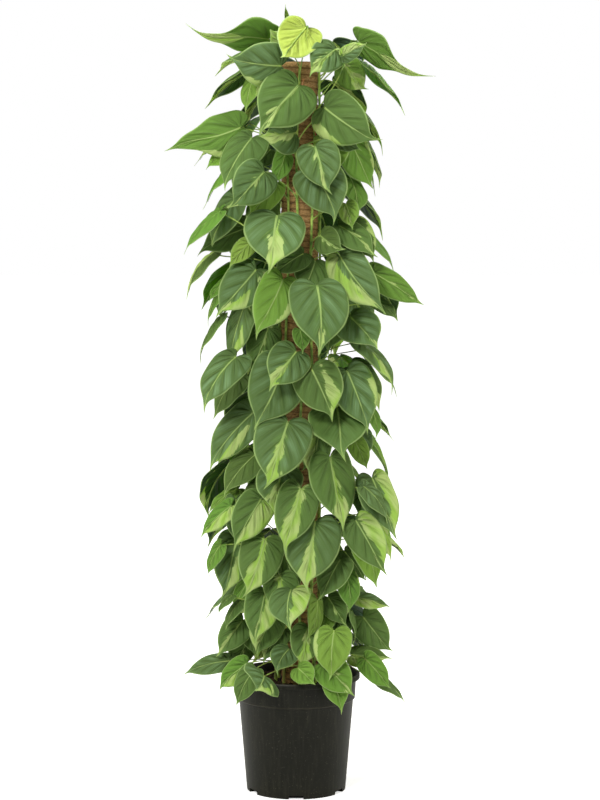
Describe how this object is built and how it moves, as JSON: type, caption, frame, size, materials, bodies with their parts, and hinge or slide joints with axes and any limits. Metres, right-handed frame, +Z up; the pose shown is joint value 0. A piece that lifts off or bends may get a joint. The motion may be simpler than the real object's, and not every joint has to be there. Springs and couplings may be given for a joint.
{
  "type": "potted heartleaf philodendron",
  "caption": "Climbing house plant with heart-shaped variegated leaves on a coir pole, in a round black nursery pot; stands on its own base.",
  "frame": {"origin": "centre of the pot's base on the surface it stands on", "axes": "+Z up along the pole; -Y towards the viewer of the front, +X to the viewer's right"},
  "size_m": [0.5528, 0.3876, 1.619],
  "materials": {
    "pot_plastic": "thin black moulded plastic, satin, dusty at the foot",
    "soil": "dark brown peat with bark bits, dull",
    "stake_wood": "plain sawn softwood",
    "coir": "brown coconut fibre, rough and matt",
    "foliage": "semi-gloss leaves, deep green with lime bands and a soft silvery sheen"
  },
  "bodies": {
    "root": {"nursery_pot": "pot_plastic", "potting_soil": "soil", "pole_core": "stake_wood", "pole_coir": "coir", "leafy_stem_1": "foliage", "leafy_stem_2": "foliage", "leafy_stem_3": "foliage", "leafy_stem_4": "foliage", "leafy_stem_5": "foliage", "leafy_stem_6": "foliage", "leafy_stem_7": "foliage", "leafy_stem_8": "foliage", "leafy_stem_9": "foliage"}
  },
  "joints": []
}
